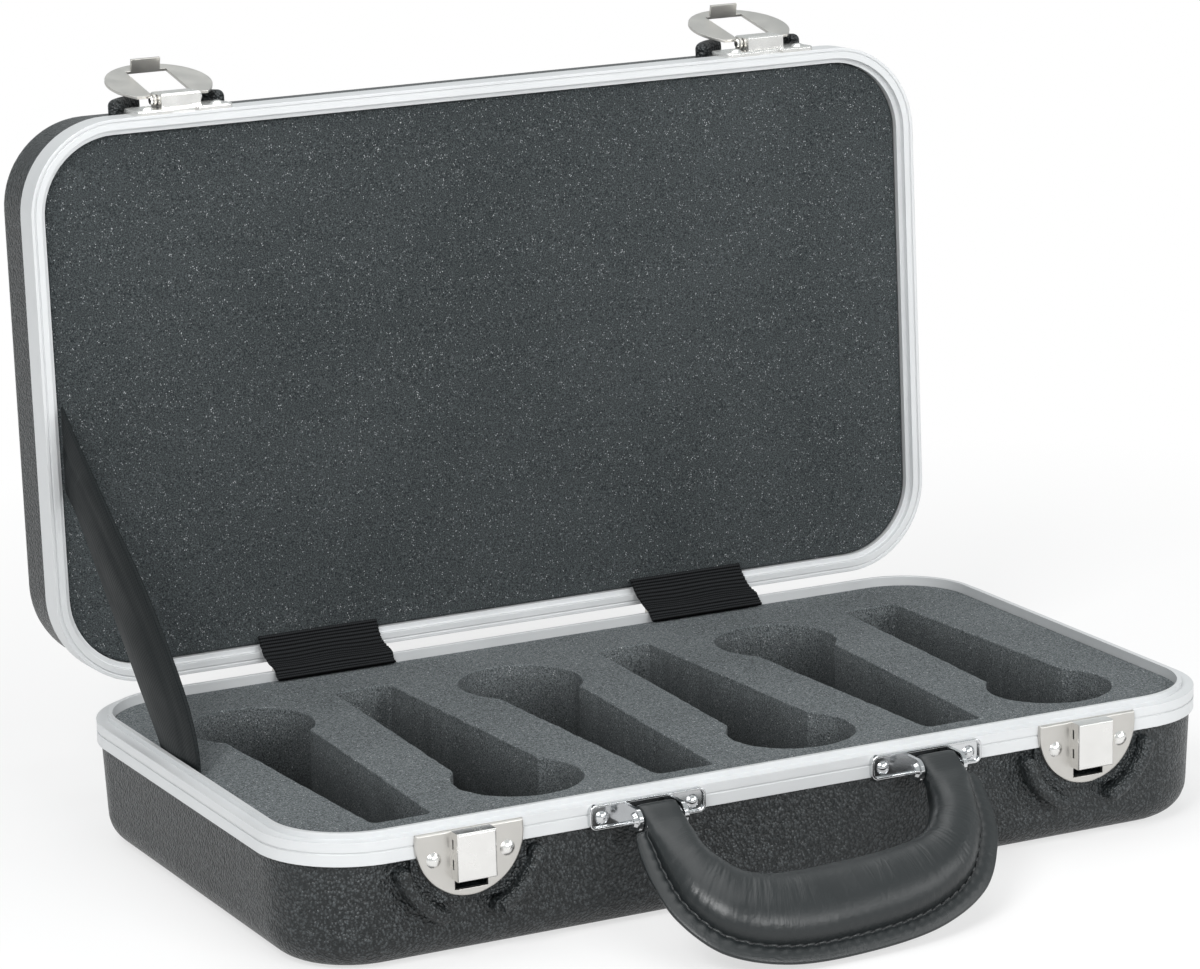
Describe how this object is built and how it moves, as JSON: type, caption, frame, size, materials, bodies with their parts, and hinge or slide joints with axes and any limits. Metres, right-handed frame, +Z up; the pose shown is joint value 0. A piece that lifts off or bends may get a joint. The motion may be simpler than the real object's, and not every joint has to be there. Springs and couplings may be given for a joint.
{
  "type": "microphone case",
  "caption": "Black hard case standing open, with silver closing frames, folded-back hasps, a padded handle and a grey foam bed cut for hand-held microphones.",
  "frame": {"origin": "middle of the flat face that the base rests on", "axes": "+X along the case to its right, +Y to the hinges, +Z up"},
  "size_m": [0.43, 0.3974, 0.3196],
  "materials": {
    "shell_plastic": "black moulded polyethylene, fine leather grain",
    "frame_aluminium": "satin anodised",
    "base_foam": "speckled grey open-cell foam",
    "lid_foam": "dark grey open-cell foam",
    "grip_vinyl": "black padded vinyl, sewn edge",
    "webbing": "black woven nylon",
    "bright_chrome": "polished",
    "nickel_steel": "nickel plated, satin"
  },
  "bodies": {
    "base": {"base_shell": "shell_plastic", "base_frame": "frame_aluminium", "base_foam": "base_foam", "latch_plate_left": "nickel_steel", "latch_plate_right": "nickel_steel", "latch_box_left": "nickel_steel", "latch_box_right": "nickel_steel", "latch_spring_left": "nickel_steel", "latch_spring_right": "nickel_steel", "base_latch_rivets": "nickel_steel", "handle_bracket_left": "bright_chrome", "handle_bracket_right": "bright_chrome", "bracket_rivets": "bright_chrome", "handle_pin_left": "bright_chrome", "handle_pin_right": "bright_chrome", "base_hinge_leaf_left": "nickel_steel", "base_hinge_leaf_right": "nickel_steel", "hinge_pin_left": "nickel_steel", "hinge_pin_right": "nickel_steel", "base_hinge_rivets": "nickel_steel", "hinge_cover_left": "webbing", "hinge_cover_right": "webbing", "stay_strap": "webbing"},
    "lid": {"lid_shell": "shell_plastic", "lid_frame": "frame_aluminium", "lid_foam": "lid_foam", "lid_hinge_leaf_left": "nickel_steel", "lid_hinge_leaf_right": "nickel_steel", "lid_hinge_rivets": "nickel_steel", "hasp_mount_left": "nickel_steel", "hasp_mount_right": "nickel_steel", "hasp_mount_rivets": "nickel_steel", "hasp_pin_left": "nickel_steel", "hasp_pin_right": "nickel_steel"},
    "hasp_left": {"hasp_left": "nickel_steel"},
    "hasp_right": {"hasp_right": "nickel_steel"},
    "handle": {"handle_grip": "grip_vinyl", "handle_eye_left": "bright_chrome", "handle_eye_right": "bright_chrome"}
  },
  "joints": [
    {"name": "lid_hinge", "type": "hinge", "parent": "base", "child": "lid", "pos_m": [0, 0.127, 0.0529], "axis": [1, 0, 0], "range_deg": [0, 92.1], "deforming": ["hinge_cover_left", "hinge_cover_right", "stay_strap"]},
    {"name": "hasp_left_hinge", "type": "hinge", "parent": "lid", "child": "hasp_left", "pos_m": [-0.1424, 0.14999, 0.30613], "axis": [1, 0, 0], "range_deg": [0, 166.2]},
    {"name": "hasp_right_hinge", "type": "hinge", "parent": "lid", "child": "hasp_right", "pos_m": [0.1424, 0.14999, 0.30613], "axis": [1, 0, 0], "range_deg": [0, 166.2]},
    {"name": "handle_hinge", "type": "hinge", "parent": "base", "child": "handle", "pos_m": [0, -0.1334, 0.0488], "axis": [1, 0, 0], "range_deg": [-90, 40]}
  ]
}
